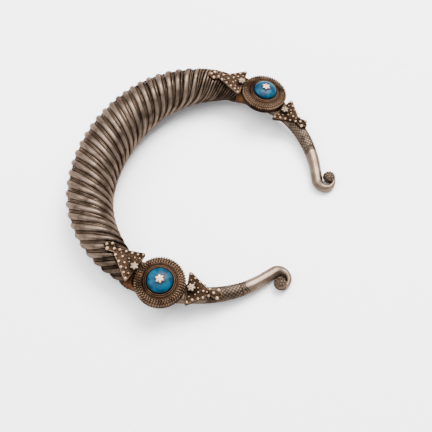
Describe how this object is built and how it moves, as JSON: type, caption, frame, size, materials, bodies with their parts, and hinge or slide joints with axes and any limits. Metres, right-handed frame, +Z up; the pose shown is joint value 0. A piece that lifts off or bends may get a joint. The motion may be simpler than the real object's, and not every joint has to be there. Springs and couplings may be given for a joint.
{
  "type": "necklace",
  "caption": "Rigid hasli neck ring of tarnished silver: thick wound wire at the back, blue cabochon bosses with granulated triangular plates, and tapering rods ending in curled hooks.",
  "frame": {"origin": "centre of the bounding box's underside, on the table", "axes": "+X across the necklace to the right-hand boss, +Y from the opening toward the thick back, +Z up"},
  "size_m": [0.1992, 0.174, 0.0346],
  "materials": {
    "silver": "hand-rubbed old silver with dark tarnish in the hollows",
    "tarnished_silver": "brown-black tarnished silver",
    "worn_gilt": "worn gilt metal, brown with age",
    "blue_glass": "opaque turquoise-blue glass, polished"
  },
  "bodies": {
    "root": {"wound_wire_hoop": "silver", "collar_right": "worn_gilt", "collar_left": "worn_gilt", "terminal_right": "silver", "terminal_left": "silver", "boss_right": "worn_gilt", "boss_left": "worn_gilt", "cabochon_right": "blue_glass", "cabochon_left": "blue_glass", "flower_stud_right": "silver", "flower_stud_left": "silver", "coil_plate_right": "tarnished_silver", "coil_plate_left": "tarnished_silver", "hook_plate_right": "tarnished_silver", "hook_plate_left": "tarnished_silver", "coil_rosette_right": "silver", "coil_rosette_left": "silver", "hook_rosette_right": "silver", "hook_rosette_left": "silver"}
  },
  "joints": []
}
